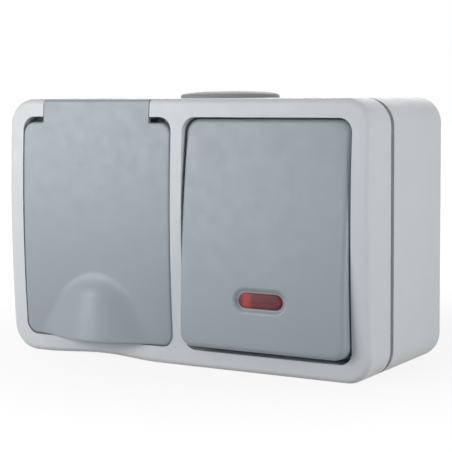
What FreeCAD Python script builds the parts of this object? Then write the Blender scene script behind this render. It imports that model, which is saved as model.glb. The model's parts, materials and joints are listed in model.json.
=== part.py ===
import FreeCAD, Part
import math
import os
import Sketcher

# Surface-mounted switch and socket: a flap over a round socket on the left,
# a rocker with a red window on the right, in one wall box with a clip-on front.
# Millimetres. Origin at the centre of the back face, +X right, -Y out of the wall, +Z up.

Vector = FreeCAD.Vector
Rule = Sketcher.Constraint
doc = FreeCAD.newDocument("switch_and_socket")
sheet = doc.addObject("Spreadsheet::Sheet", "sizes")

# Driving sizes
SIZES = (
    ("width", 132.0), ("height", 83.4), ("corner", 8.5), ("box_depth", 35.9), ("box_wall", 2.4),
    ("back_wall", 2.6), ("seal_gap", 2.2), ("seal_recess", 0.8), ("seal_wide", 1.8),
    ("cover_deep", 13.0), ("bulge", 1.8), ("edge_round", 2.0), ("cover_wall", 2.3), ("plate", 2.2),
    ("middle_bar", 4.0), ("side_border", 6.0), ("end_border", 5.6), ("window_corner", 4.3),
    ("skirt", 1.5), ("gap", 0.3), ("fit", 0.05), ("flap_wall", 2.2), ("flap_skirt", 1.6),
    ("ledge_step", 4.8), ("barrel", 3.3), ("pin", 1.0), ("pin_grip", 6.2), ("neck_half", 20.57),
    ("shoulder_gap", 1.8), ("bell_tall", 22.1), ("bell_rise", 6.5), ("bell_reach", 21.0),
    ("bell_crown", 9.0), ("lip_half", 17.0), ("lip_drop", 1.4), ("scoop_half", 23.0),
    ("scoop_deep", 4.8), ("scoop_tilt", 24.0), ("spring_coil", 1.4), ("wire", 0.25),
    ("spring_long", 6.8), ("leg", 8.0), ("well", 20.3), ("cup_wall", 1.7), ("well_deep", 17.5),
    ("well_floor", 3.0), ("face_side", 4.0), ("face_end", 11.1), ("face_proud", 0.7), ("face_lap", 1.6),
    ("pin_pitch", 19.0), ("pin_hole", 2.5), ("fork_half", 3.6), ("base_side", 3.0), ("base_tall", 20.5),
    ("base_gap", 2.5), ("terminal", 9.0), ("strip", 0.8), ("clip_wide", 4.4), ("clip_out", 23.0),
    ("clip_in", 19.6), ("pivot_rise", 5.4), ("tilt", 4.75), ("proud", 1.1), ("rocker_gap", 1.0),
    ("rocker_side", 0.6), ("rocker_corner", 4.2), ("rocker_round", 1.5), ("rocker_wall", 1.7),
    ("lens_long", 14.8), ("lens_tall", 4.7), ("lens_drop", 19.0), ("dish_long", 18.5),
    ("dish_tall", 7.8), ("dish_deep", 0.75), ("trunnion", 2.0), ("cheek", 14.6), ("cheek_thick", 2.4),
    ("plunger_end", 21.3), ("lever_tilt", 8.0), ("lever_arm", 12.0), ("lever_pin", 1.2),
    ("chamber_half", 8.0), ("switch_side", 6.0), ("switch_tall", 22.0), ("cradle_deep", 10.1),
    ("cradle_tall", 27.2), ("opening_in", 1.0), ("opening_tall", 26.0), ("plug", 16.2),
    ("plug_depth", 19.0), ("slot_inset_x", 11.0), ("slot_inset_z", 10.7), ("slot_half", 2.4),
    ("slot_long", 9.0), ("post", 3.6), ("cover_screw", 24.0), ("break_out", 10.4), ("post_tall", 7.2), ("thread", 1.5), ("head", 2.8),
    ("screw_x", 15.0), ("screw_inset", 4.9), ("base_screw_in", 5.0), ("base_screw_z", 15.0),
    ("switch_screw_in", 4.5), ("switch_screw_z", 17.0),
)
for row, (alias, size) in enumerate(SIZES, start=1):
    sheet.set("A%d" % row, alias)
    sheet.set("B%d" % row, "%g" % size)
    sheet.setAlias("B%d" % row, alias)
doc.recompute()

# Places that several pieces share, as depths from the wall and heights
WIN_IN = "(sizes.middle_bar / 2)"
WIN_OUT = "(sizes.width / 2 - sizes.side_border)"
WIN_Z = "(sizes.height / 2 - sizes.end_border)"
MID = "((sizes.middle_bar / 2 + sizes.width / 2 - sizes.side_border) / 2)"
RIM = "(sizes.box_depth + sizes.seal_gap)"
FRONT = "(sizes.box_depth + sizes.seal_gap + sizes.cover_deep)"
LEDGE = "(%s - sizes.ledge_step)" % FRONT
ARC = "(((sizes.height / 2)^2 + sizes.bulge^2) / (2 * sizes.bulge))"
FACE_CENTRE = "(%s - %s - sizes.bulge)" % (ARC, FRONT)
AXIS = "(%s - sizes.barrel + sizes.gap - 0.1)" % FRONT
AXIS_Z = "(sizes.height / 2 - sizes.barrel)"
SHOULDER = "(%s - sizes.shoulder_gap)" % WIN_Z
BASE_BACK = "(sizes.back_wall + sizes.post_tall)"
SCREW_Z = "(%s - sizes.screw_inset)" % WIN_Z
PIVOT = "(%s + sizes.pivot_rise)" % RIM
SWITCH_FRONT = "(%s - sizes.cradle_deep)" % RIM
LEVER = "(%s - sizes.plunger_end - 1.7)" % PIVOT
CHAMBER = "(%s - 6.5)" % LEVER
SEAT = "(%s + 4.2)" % BASE_BACK
HALF = "((sizes.width / 2 - sizes.side_border - sizes.middle_bar / 2) / 2)"
FACE_X = "(%s - sizes.face_side)" % HALF
FACE_Z = "(%s - sizes.face_end)" % WIN_Z
BASE_X = "(%s - sizes.base_side)" % HALF
SWITCH_X = "(%s - sizes.switch_side)" % HALF
WELL_FRONT = "(%s + sizes.face_proud)" % LEDGE
WELL_FLOOR = "(%s - sizes.well_deep)" % WELL_FRONT
FLANGE = "(%s - sizes.plate)" % LEDGE
CUP_BACK = "(%s - sizes.well_floor)" % WELL_FLOOR
BASE_FRONT = "(%s - sizes.base_gap)" % CUP_BACK


def num(text):
    answer = sheet.evalExpression(text)
    return float(getattr(answer, "Value", answer))


def size(alias):
    return num("sizes." + alias)


# Sketches and features
def body(name):
    made = doc.addObject("PartDesign::Body", name)
    made.Label = name
    return made


def place(item, x="0", depth="0", z="0", turn=None):
    item.setExpression("Placement.Base.x", x)
    item.setExpression("Placement.Base.y", "-(%s)" % depth)
    item.setExpression("Placement.Base.z", z)
    if turn:
        item.Placement = FreeCAD.Placement(item.Placement.Base, FreeCAD.Rotation(Vector(1, 0, 0), num(turn)))
        item.setExpression("Placement.Rotation.Axis.x", "1")
        item.setExpression("Placement.Rotation.Angle", turn)


def sketch(owner, plane, offset="0"):
    made = owner.newObject("Sketcher::SketchObject", "outline")
    support = [item for item in owner.Origin.OriginFeatures if item.Role == plane + "_Plane"][0]
    made.AttachmentSupport = [(support, "")]
    made.MapMode = "FlatFace"
    made.AttachmentOffset = FreeCAD.Placement(Vector(0, 0, num(offset)), FreeCAD.Rotation())
    made.setExpression("AttachmentOffset.Base.z", offset)
    return made


def rule(sk, kind, *details):
    expression = details[-1]
    sk.addConstraint(Rule(kind, *details[:-1], num(expression)))
    sk.setExpression("Constraints[%d]" % (sk.ConstraintCount - 1), expression)


def pin_point(sk, edge, end, x, y):
    rule(sk, "DistanceX", -1, 1, edge, end, x)
    rule(sk, "DistanceY", -1, 1, edge, end, y)


def octagon(sk, x, y, radius):
    cx, cy, r = num(x), num(y), num(radius)
    first = sk.GeometryCount
    spots = []
    for step in range(8):
        turn = math.pi / 8 + step * math.pi / 4
        spots.append(Vector(cx + r * math.cos(turn), cy + r * math.sin(turn), 0))
    for index in range(8):
        sk.addGeometry(Part.LineSegment(spots[index], spots[(index + 1) % 8]), False)
    rim = Part.Circle(Vector(cx, cy, 0), Vector(0, 0, 1), r)
    sk.addGeometry(rim, True)
    pin_point(sk, first + 8, 3, x, y)
    rule(sk, "Radius", first + 8, radius)
    for index in range(8):
        sk.addConstraint(Rule("Coincident", first + index, 2, first + (index + 1) % 8, 1))
        sk.addConstraint(Rule("PointOnObject", first + index, 1, first + 8))
    for index in range(1, 8):
        sk.addConstraint(Rule("Equal", first, first + index))
    sk.addConstraint(Rule("Horizontal", first + 1))


def outline(sk, points):
    spots = [Vector(num(x), num(y), 0) for x, y in points]
    first = sk.GeometryCount
    count = len(spots)
    for index in range(count):
        sk.addGeometry(Part.LineSegment(spots[index], spots[(index + 1) % count]), False)
    for index in range(count):
        sk.addConstraint(Rule("Coincident", first + index, 2, first + (index + 1) % count, 1))
        pin_point(sk, first + index, 1, *points[index])


def box(sk, x0, x1, y0, y1):
    outline(sk, [(x0, y0), (x1, y0), (x1, y1), (x0, y1)])


def circle(sk, x, y, radius):
    index = sk.GeometryCount
    sk.addGeometry(Part.Circle(Vector(num(x), num(y), 0), Vector(0, 0, 1), num(radius)), False)
    pin_point(sk, index, 3, x, y)
    rule(sk, "Radius", index, radius)


def rounded(sk, x0, x1, y0, y1, radius):
    a, b, c, d, r = num(x0), num(x1), num(y0), num(y1), num(radius)
    first = sk.GeometryCount
    up = Vector(0, 0, 1)
    quarter = math.pi / 2
    lines = ((a + r, c, b - r, c), (b, c + r, b, d - r), (b - r, d, a + r, d), (a, d - r, a, c + r))
    arcs = ((b - r, c + r, -1), (b - r, d - r, 0), (a + r, d - r, 1), (a + r, c + r, 2))
    for line, arc in zip(lines, arcs):
        sk.addGeometry(Part.LineSegment(Vector(line[0], line[1], 0), Vector(line[2], line[3], 0)), False)
        round_edge = Part.Circle(Vector(arc[0], arc[1], 0), up, r)
        sk.addGeometry(Part.ArcOfCircle(round_edge, arc[2] * quarter, (arc[2] + 1) * quarter), False)
    for index in range(8):
        sk.addConstraint(Rule("Tangent", first + index, 2, first + (index + 1) % 8, 1))
    for index in (0, 4):
        sk.addConstraint(Rule("Horizontal", first + index))
    for index in (2, 6):
        sk.addConstraint(Rule("Vertical", first + index))
    for index in (3, 5, 7):
        sk.addConstraint(Rule("Equal", first + 1, first + index))
    rule(sk, "Radius", first + 1, radius)
    rule(sk, "DistanceX", -1, 1, first + 2, 1, x1)
    rule(sk, "DistanceX", -1, 1, first + 6, 1, x0)
    rule(sk, "DistanceY", -1, 1, first, 1, y0)
    rule(sk, "DistanceY", -1, 1, first + 4, 1, y1)


def stadium(sk, x, y, length, tall):
    half = "((%s) / 2)" % tall
    reach = "((%s - (%s)) / 2)" % (length, tall)
    left, right, cy, r = num(x) - num(reach), num(x) + num(reach), num(y), num(half)
    first = sk.GeometryCount
    up = Vector(0, 0, 1)
    sk.addGeometry(Part.LineSegment(Vector(left, cy - r, 0), Vector(right, cy - r, 0)), False)
    sk.addGeometry(Part.ArcOfCircle(Part.Circle(Vector(right, cy, 0), up, r), -math.pi / 2, math.pi / 2), False)
    sk.addGeometry(Part.LineSegment(Vector(right, cy + r, 0), Vector(left, cy + r, 0)), False)
    sk.addGeometry(Part.ArcOfCircle(Part.Circle(Vector(left, cy, 0), up, r), math.pi / 2, 1.5 * math.pi), False)
    for index in range(4):
        sk.addConstraint(Rule("Tangent", first + index, 2, first + (index + 1) % 4, 1))
    sk.addConstraint(Rule("Horizontal", first))
    rule(sk, "Radius", first + 1, half)
    pin_point(sk, first + 1, 3, "%s + %s" % (x, reach), y)
    rule(sk, "DistanceX", -1, 1, first + 3, 3, "%s - %s" % (x, reach))


def swell(sk, x, y, half, rise, down=False):
    radius = "(((%s)^2 / 4 + (%s)^2 / 4) / (%s))" % (half, rise, rise)
    cx, cy, w, r = num(x), num(y), num(half), num(radius)
    way = -1 if down else 1
    turn = math.asin(w / 2 / r)
    up = Vector(0, 0, 1)
    foot = -way * math.pi / 2
    left = Part.Circle(Vector(cx - w, cy + way * r, 0), up, r)
    crown = Part.Circle(Vector(cx, cy + way * (num(rise) - r), 0), up, r)
    right = Part.Circle(Vector(cx + w, cy + way * r, 0), up, r)
    spans = [(foot, foot + turn), (-foot - turn, -foot + turn), (foot - turn, foot)]
    if down:
        spans = [(foot - turn, foot), (-foot - turn, -foot + turn), (foot, foot + turn)]
    for hoop, (start, end) in zip((left, crown, right), spans):
        sk.addGeometry(Part.ArcOfCircle(hoop, start, end), False)
    sk.addGeometry(Part.LineSegment(Vector(cx + w, cy, 0), Vector(cx - w, cy, 0)), False)
    near, far = (2, 1) if down else (1, 2)
    sk.addConstraint(Rule("Tangent", 0, far, 1, far))
    sk.addConstraint(Rule("Tangent", 1, near, 2, near))
    sk.addConstraint(Rule("Coincident", 2, far, 3, 1))
    sk.addConstraint(Rule("Coincident", 3, 2, 0, near))
    sk.addConstraint(Rule("Equal", 0, 1))
    sk.addConstraint(Rule("Equal", 1, 2))
    rule(sk, "Radius", 0, radius)
    pin_point(sk, 3, 1, "%s + %s" % (x, half), y)
    pin_point(sk, 3, 2, "%s - %s" % (x, half), y)
    rule(sk, "DistanceX", -1, 1, 0, 3, "%s - %s" % (x, half))
    rule(sk, "DistanceX", -1, 1, 2, 3, "%s + %s" % (x, half))


def beyond_face(sk, centre, radius, far, reach):
    cy, r, zt = num(centre), num(radius), num(reach)
    swing = math.asin(zt / r)
    y0, y1 = cy - r * math.cos(swing), num(far)
    face = Part.Circle(Vector(cy, 0, 0), Vector(0, 0, 1), r)
    sk.addGeometry(Part.ArcOfCircle(face, math.pi - swing, math.pi + swing), False)
    sk.addGeometry(Part.LineSegment(Vector(y0, zt, 0), Vector(y1, zt, 0)), False)
    sk.addGeometry(Part.LineSegment(Vector(y1, zt, 0), Vector(y1, -zt, 0)), False)
    sk.addGeometry(Part.LineSegment(Vector(y1, -zt, 0), Vector(y0, -zt, 0)), False)
    for join in ((0, 1, 1, 1), (1, 2, 2, 1), (2, 2, 3, 1), (3, 2, 0, 2)):
        sk.addConstraint(Rule("Coincident", *join))
    sk.addConstraint(Rule("Horizontal", 1))
    sk.addConstraint(Rule("Horizontal", 3))
    pin_point(sk, 0, 3, centre, "0")
    rule(sk, "Radius", 0, radius)
    pin_point(sk, 2, 1, far, reach)
    pin_point(sk, 2, 2, far, "-(%s)" % reach)


def grow(owner, sk, length, kind="Pad", back=False, both=False, draft=None):
    doc.recompute()
    made = owner.newObject("PartDesign::" + kind, kind.lower())
    made.Profile = sk
    made.Length = num(length)
    made.setExpression("Length", length)
    if both:
        made.SideType = "Symmetric"
    made.Reversed = back
    if draft:
        made.TaperAngle = num(draft)
        made.setExpression("TaperAngle", draft)
    doc.recompute()
    return made


def pad(owner, sk, length, **options):
    return grow(owner, sk, length, "Pad", **options)


def pocket(owner, sk, length, **options):
    before = owner.Shape.Volume
    made = grow(owner, sk, length, "Pocket", **options)
    if owner.Shape.Volume >= before - 1e-6:
        raise ValueError("a pocket of %s removes nothing" % owner.Label)
    return made


def spin(owner, sk, along="V_Axis", kind="Revolution"):
    doc.recompute()
    made = owner.newObject("PartDesign::" + kind, kind.lower())
    made.Profile = sk
    made.ReferenceAxis = (sk, [along])
    made.Angle = 360
    doc.recompute()
    return made


def soften(owner, test, radius, kind="Fillet"):
    base = owner.Tip
    names = ["Edge%d" % (n + 1) for n, edge in enumerate(base.Shape.Edges) if test(edge)]
    made = owner.newObject("PartDesign::" + kind, kind.lower())
    made.Base = (base, names)
    if kind == "Fillet":
        made.Radius = num(radius)
        made.setExpression("Radius", radius)
    else:
        made.Size = num(radius)
        made.setExpression("Size", radius)
    doc.recompute()
    return made


# Back box
back_box = body("back_box")
sk = sketch(back_box, "XZ")
rounded(sk, "-sizes.width / 2", "sizes.width / 2", "-sizes.height / 2", "sizes.height / 2", "sizes.corner")
pad(back_box, sk, "sizes.box_depth")
sk = sketch(back_box, "XZ", "sizes.box_depth")
INNER_X = "(sizes.width / 2 - sizes.box_wall)"
INNER_Z = "(sizes.height / 2 - sizes.box_wall)"
rounded(sk, "-" + INNER_X, INNER_X, "-" + INNER_Z, INNER_Z, "sizes.corner - sizes.box_wall")
pocket(back_box, sk, "sizes.box_depth - sizes.back_wall")

# Posts for the cover screws and for the two bases
MID_L = "-" + MID
NEAR = "(%s - sizes.screw_x)" % MID
FAR = "(%s + sizes.screw_x)" % MID
COVER_SCREWS = (("-" + FAR, SCREW_Z), ("-" + NEAR, "-" + SCREW_Z), (NEAR, SCREW_Z), (FAR, "-" + SCREW_Z))


def four(middle, out, up):
    low, high = "(%s - (%s))" % (middle, out), "(%s + (%s))" % (middle, out)
    return (low, up), (high, "-" + up), (low, "-" + up), (high, up)


SOCKET_POSTS = four(MID_L, BASE_X + " - sizes.base_screw_in", "sizes.base_screw_z")
SWITCH_POSTS = four(MID, SWITCH_X + " - sizes.switch_screw_in", "sizes.switch_screw_z")
sk = sketch(back_box, "XZ", "sizes.back_wall")
for x, z in COVER_SCREWS:
    octagon(sk, x, z, "sizes.post")
pad(back_box, sk, RIM + " - sizes.back_wall")
sk = sketch(back_box, "XZ", "sizes.back_wall")
for x, z in SOCKET_POSTS + SWITCH_POSTS:
    octagon(sk, x, z, "sizes.post")
pad(back_box, sk, "sizes.post_tall")
sk = sketch(back_box, "XZ", RIM)
for x, z in COVER_SCREWS:
    octagon(sk, x, z, "sizes.thread + sizes.fit")
pocket(back_box, sk, "sizes.cover_screw")
sk = sketch(back_box, "XZ", BASE_BACK)
for x, z in SOCKET_POSTS[:2] + SWITCH_POSTS[:2]:
    octagon(sk, x, z, "sizes.thread + sizes.fit")
pocket(back_box, sk, "sizes.post_tall - 0.7")

# Slots for wall screws, and the seat of the entry plug
sk = sketch(back_box, "XZ", "sizes.back_wall + 1")
for side in ("", "-"):
    for end in ("", "-"):
        stadium(sk, side + "(sizes.width / 2 - sizes.slot_inset_x)", end + "(sizes.height / 2 - sizes.slot_inset_z)",
                "sizes.slot_long", "sizes.slot_half * 2")
pocket(back_box, sk, "sizes.back_wall + 2")
sk = sketch(back_box, "XY", "sizes.height / 2 + 1")
circle(sk, "0", "-sizes.plug_depth", "sizes.plug + sizes.gap / 2")
pocket(back_box, sk, "1.6")
sk = sketch(back_box, "XY", "sizes.height / 2 + 1")
circle(sk, "0", "-sizes.plug_depth", "sizes.plug - 2")
pocket(back_box, sk, "sizes.box_wall + 3")

# Break-out marks in the bottom wall
sk = sketch(back_box, "XY", "-sizes.height / 2 - 1")
for x in (MID_L, MID):
    circle(sk, x, "-sizes.plug_depth", "sizes.break_out")
pocket(back_box, sk, "1.5", back=True)

# Seal between box and cover
case_seal = body("case_seal")
sk = sketch(case_seal, "XZ", "sizes.box_depth")
OUT_X = "(sizes.width / 2 - sizes.seal_recess)"
OUT_Z = "(sizes.height / 2 - sizes.seal_recess)"
rounded(sk, "-" + OUT_X, OUT_X, "-" + OUT_Z, OUT_Z, "sizes.corner - sizes.seal_recess")
IN_X = "(%s - sizes.seal_wide)" % OUT_X
IN_Z = "(%s - sizes.seal_wide)" % OUT_Z
rounded(sk, "-" + IN_X, IN_X, "-" + IN_Z, IN_Z, "sizes.corner - sizes.seal_recess - sizes.seal_wide")
pad(case_seal, sk, "sizes.seal_gap")

# Front cover with its curved face and two windows
front_cover = body("front_cover")
ABOVE = "(%s + sizes.bulge + 2)" % FRONT
sk = sketch(front_cover, "XZ", RIM)
rounded(sk, "-sizes.width / 2", "sizes.width / 2", "-sizes.height / 2", "sizes.height / 2", "sizes.corner")
pad(front_cover, sk, "%s - %s" % (ABOVE, RIM))
sk = sketch(front_cover, "YZ")
beyond_face(sk, FACE_CENTRE, ARC, "-%s - 8" % FRONT, "sizes.height / 2 + 4")
pocket(front_cover, sk, "sizes.width + 8", both=True)


def on_front_rim(edge):
    front = num(FRONT)
    return edge.CenterOfMass.y < 0.5 - front and edge.BoundBox.YLength < size("bulge") + 1


soften(front_cover, on_front_rim, "sizes.edge_round")
sk = sketch(front_cover, "XZ", RIM)
CH_X = "(sizes.width / 2 - sizes.cover_wall)"
CH_Z = "(sizes.height / 2 - sizes.cover_wall)"
rounded(sk, "-" + CH_X, CH_X, "-" + CH_Z, CH_Z, "sizes.corner - sizes.cover_wall")
IS_X = "(%s + sizes.skirt)" % WIN_OUT
IS_Z = "(%s + sizes.skirt)" % WIN_Z
rounded(sk, "-" + IS_X, IS_X, "-" + IS_Z, IS_Z, "sizes.window_corner + sizes.skirt")
pocket(front_cover, sk, "sizes.cover_deep - sizes.cover_wall - 0.5", back=True)
sk = sketch(front_cover, "XZ", ABOVE)
rounded(sk, "-" + WIN_OUT, "-" + WIN_IN, "-" + WIN_Z, WIN_Z, "sizes.window_corner")
pocket(front_cover, sk, "%s - %s" % (ABOVE, LEDGE))
sk = sketch(front_cover, "XZ", ABOVE)
rounded(sk, WIN_IN, WIN_OUT, "-" + WIN_Z, WIN_Z, "sizes.window_corner")
pocket(front_cover, sk, "%s - %s - sizes.plate" % (ABOVE, RIM))
sk = sketch(front_cover, "XZ", RIM)
rounded(sk, "-" + WIN_OUT, "-" + WIN_IN, "-" + WIN_Z, WIN_Z, "sizes.window_corner")
pocket(front_cover, sk, "%s - %s" % (FLANGE, RIM), back=True)
sk = sketch(front_cover, "XZ", LEDGE + " + 1")
OPEN_X = "(%s - sizes.opening_in)" % SWITCH_X


def about(sk, middle, half_x, half_z, radius):
    rounded(sk, "%s - (%s)" % (middle, half_x), "%s + %s" % (middle, half_x), "-(%s)" % half_z, half_z, radius)


about(sk, MID_L, FACE_X + " + sizes.gap", FACE_Z + " + sizes.gap", "3.2")
about(sk, MID, OPEN_X, "sizes.opening_tall", "3.2")
pocket(front_cover, sk, "%s + 1 - %s + 1" % (LEDGE, RIM))

# Ears that carry the hinge pin, and the notch between them
EAR = "(%s - sizes.barrel - 0.2)" % AXIS
NECK_L = "(%s - sizes.neck_half)" % MID_L
NECK_R = "(%s + sizes.neck_half)" % MID_L
sk = sketch(front_cover, "XZ", EAR)
for x0, x1 in (("-" + WIN_OUT, NECK_L + " - sizes.gap"), (NECK_R + " + sizes.gap", "-" + WIN_IN)):
    box(sk, x0, x1, WIN_Z + " + 0.4", "sizes.height / 2 - 1")
pad(front_cover, sk, "%s - 1.2 - %s" % (FRONT, EAR))
sk = sketch(front_cover, "YZ", MID_L)
box(sk, "-%s - 6" % FRONT, "-(%s - sizes.barrel - sizes.gap)" % AXIS, WIN_Z + " - 1", "sizes.height / 2 + 1")
pocket(front_cover, sk, "(sizes.neck_half + sizes.gap) * 2", both=True)
sk = sketch(front_cover, "YZ", MID_L)
circle(sk, "-" + AXIS, AXIS_Z, "sizes.pin + sizes.fit")
pocket(front_cover, sk, "(sizes.neck_half + sizes.pin_grip + 0.3) * 2", both=True)

# Screw bosses and seats in the cover
sk = sketch(front_cover, "XZ", RIM)
for x, z in COVER_SCREWS[:2]:
    octagon(sk, x, z, "sizes.post")
pad(front_cover, sk, "%s - %s" % (FLANGE, RIM))
sk = sketch(front_cover, "XZ", LEDGE + " + 1")
for x, z in COVER_SCREWS:
    octagon(sk, x, z, "sizes.thread + 0.25")
pocket(front_cover, sk, "%s - %s + 3" % (LEDGE, RIM))
sk = sketch(front_cover, "XZ", LEDGE)
for x, z in COVER_SCREWS[:2]:
    circle(sk, x, z, "sizes.head + 0.3")
pocket(front_cover, sk, "1")
sk = sketch(front_cover, "XZ", RIM + " + sizes.plate")
for x, z in COVER_SCREWS[2:]:
    circle(sk, x, z, "sizes.head + 0.3")
pocket(front_cover, sk, "1")

# Finger scoop in the lower border, under the lip of the flap
sk = sketch(front_cover, "XZ", RIM)
box(sk, MID_L + " - sizes.scoop_half", MID_L + " + sizes.scoop_half", "-sizes.height / 2 + 1", "-%s - 1" % WIN_Z)
pad(front_cover, sk, "sizes.cover_deep - 2")
sk = sketch(front_cover, "XZ", FRONT)
swell(sk, MID_L, "0", "sizes.scoop_half", "sizes.scoop_deep + 1")
tilted = FreeCAD.Rotation(Vector(1, 0, 0), -size("scoop_tilt"))
lift = "-sizes.height / 2 + 0.8"
ahead = FRONT + " + 4"
sk.AttachmentOffset = FreeCAD.Placement(Vector(0, num(lift), num(ahead)), tilted)
sk.setExpression("AttachmentOffset.Base.y", lift)
sk.setExpression("AttachmentOffset.Base.z", ahead)
sk.setExpression("AttachmentOffset.Rotation.Axis.x", "1")
sk.setExpression("AttachmentOffset.Rotation.Angle", "-sizes.scoop_tilt")
pocket(front_cover, sk, "26")

# Entry plug in the top wall
entry_plug = body("entry_plug")
sk = sketch(entry_plug, "XZ")
TOP = "sizes.height / 2"
UNDER = TOP + " - sizes.box_wall"
outline(sk, [
    ("0", TOP + " + 2.2"), ("sizes.plug * 0.6", TOP + " + 2"), ("sizes.plug", TOP + " + 1"),
    ("sizes.plug", TOP + " - 0.6"), ("sizes.plug - 2.1", TOP + " - 0.6"), ("sizes.plug - 2.1", UNDER),
    ("sizes.plug - 1", UNDER), ("sizes.plug - 2.1", UNDER + " - 2.4"), ("sizes.plug - 3.8", UNDER + " - 2.4"),
    ("sizes.plug - 3.8", TOP + " + 0.4"), ("0", TOP + " + 0.4"),
])
spin(entry_plug, sk)
place(entry_plug, depth="sizes.plug_depth")


# Screws along the depth axis
def screw(name, x, z, seat, length, head="sizes.head", tall="1.8", shank="sizes.thread", seen=False):
    made = body(name)
    sk = sketch(made, "XZ")
    (circle if seen else octagon)(sk, "0", "0", head)
    pad(made, sk, tall)
    sk = sketch(made, "XZ")
    octagon(sk, "0", "0", shank)
    pad(made, sk, length, back=True)
    sk = sketch(made, "XZ", tall)
    box(sk, "-(%s) * 0.8" % head, "(%s) * 0.8" % head, "-0.4", "0.4")
    pocket(made, sk, "(%s) * 0.5" % tall)
    place(made, x, seat, z)
    return made


for letter, (x, z) in zip("abcd", COVER_SCREWS):
    seat = LEDGE + " - 1" if letter in "ab" else RIM + " + sizes.plate - 1"
    past = "%s - %s" % (LEDGE, RIM) if letter in "ab" else "sizes.plate"
    screw("cover_screw_" + letter, x, z, seat, past + " + sizes.cover_screw - 8", seen=True)

# Hinge pin
hinge_pin = body("hinge_pin")
sk = sketch(hinge_pin, "YZ")
circle(sk, "0", "0", "sizes.pin")
pad(hinge_pin, sk, "(sizes.neck_half + sizes.pin_grip) * 2", both=True)
place(hinge_pin, MID_L, AXIS, AXIS_Z)

# Flap: outline with neck and barrel
flap_blank = body("flap_blank")
sk = sketch(flap_blank, "XZ", LEDGE + " + 1.1")
FLAP_X = "(%s - sizes.gap)" % HALF
FLAP_B = "-(%s - sizes.gap)" % WIN_Z
rounded(sk, "%s - %s" % (MID_L, FLAP_X), "%s + %s" % (MID_L, FLAP_X), FLAP_B, SHOULDER,
        "sizes.window_corner - sizes.gap")
pad(flap_blank, sk, "sizes.ledge_step + sizes.bell_rise + 5")
sk = sketch(flap_blank, "XZ", AXIS)
box(sk, NECK_L, NECK_R, SHOULDER + " - 1", AXIS_Z)
pad(flap_blank, sk, "12")
sk = sketch(flap_blank, "YZ", MID_L)
circle(sk, "-" + AXIS, AXIS_Z, "sizes.barrel")
pad(flap_blank, sk, "sizes.neck_half * 2", both=True)
sk = sketch(flap_blank, "XZ", FRONT + " + 0.9")
swell(sk, MID_L, FLAP_B, "sizes.lip_half", "sizes.lip_drop", down=True)
pad(flap_blank, sk, "sizes.bell_rise + 4.5")


# Skin of the flap: the curved front with a bell-shaped finger lift
def bell(x, z):
    top, low = size("bell_tall") - num(WIN_Z), num(FLAP_B) - size("lip_drop")
    along = min(max((top - z) / (top - low), 0.0), 1.2)
    reach = size("bell_crown") + (size("bell_reach") - size("bell_crown")) * along ** 0.8
    across = min(abs(x + num(MID)) / reach, 1.0)
    rise = (1 - math.cos(math.pi * min(along / 0.34, 1.0))) / 2 * (0.35 + 0.65 * min(along, 1.0))
    return size("bell_rise") * rise * (0.5 + 0.5 * math.cos(math.pi * across))


def skin(name, inset):
    radius, middle = num(ARC), num(MID)
    half_x, half_z = num(HALF) + 3, num(TOP) + 2.4
    rows = []
    for i in range(29):
        x = -middle - half_x + i * half_x / 14
        column = []
        for j in range(41):
            z = half_z - j * half_z / 20
            depth = num(FRONT) + size("bulge") - radius + math.sqrt(radius ** 2 - z ** 2)
            column.append(Vector(x, -(depth + bell(x, z) - inset), z))
        rows.append(column)
    surface = Part.BSplineSurface()
    surface.interpolate(rows)
    made = doc.addObject("Part::Feature", name)
    made.Shape = surface.toShape().extrude(Vector(0, size("ledge_step") + 20, 0))
    made.Placement = FreeCAD.Placement()
    return made


flap_skin = skin("flap_skin", 0.0)
flap_inside = skin("flap_inside", size("flap_wall"))
flap_hollow = body("flap_hollow")
sk = sketch(flap_hollow, "XZ", LEDGE + " - 3")
SIDE = "(%s - sizes.flap_skirt)" % FLAP_X
rounded(sk, "%s - %s" % (MID_L, SIDE), "%s + %s" % (MID_L, SIDE), FLAP_B + " + sizes.flap_skirt",
        SHOULDER + " - 3", "sizes.window_corner - sizes.gap - sizes.flap_skirt")
pad(flap_hollow, sk, "20")
sk = sketch(flap_hollow, "XZ", LEDGE + " - 3")
box(sk, "-" + WIN_OUT, "-" + WIN_IN, SHOULDER + " - 5", SHOULDER + " + 0.6")
pad(flap_hollow, sk, "20")

# Space for the spring in the middle of the barrel, and the bore for the pin
flap_bore = body("flap_bore")
sk = sketch(flap_bore, "YZ", MID_L)
circle(sk, "-" + AXIS, AXIS_Z, "sizes.pin + sizes.fit")
pad(flap_bore, sk, "(sizes.neck_half + 9) * 2", both=True)
sk = sketch(flap_bore, "YZ", MID_L)
circle(sk, "-" + AXIS, AXIS_Z, "sizes.barrel - 1")
pad(flap_bore, sk, "sizes.spring_long + 1.6", both=True)
sk = sketch(flap_bore, "YZ", MID_L)
box(sk, "-" + AXIS, "-(%s - sizes.barrel - 1)" % AXIS, AXIS_Z + " - sizes.barrel - 1", AXIS_Z + " + 1")
pad(flap_bore, sk, "sizes.spring_long + 1.6", both=True)
sk = sketch(flap_bore, "YZ", MID_L + " + sizes.spring_long / 2 - 0.7")
box(sk, "-(%s + sizes.spring_coil + sizes.wire + 0.3)" % AXIS, "-(%s - 0.5)" % AXIS,
    AXIS_Z + " - sizes.leg - 2.5", AXIS_Z + " - 1")
pad(flap_bore, sk, "1.4", both=True)


def join(kind, name, first, second):
    made = doc.addObject("Part::" + kind, name)
    made.Base = first
    made.Tool = second
    doc.recompute()
    return made


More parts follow.
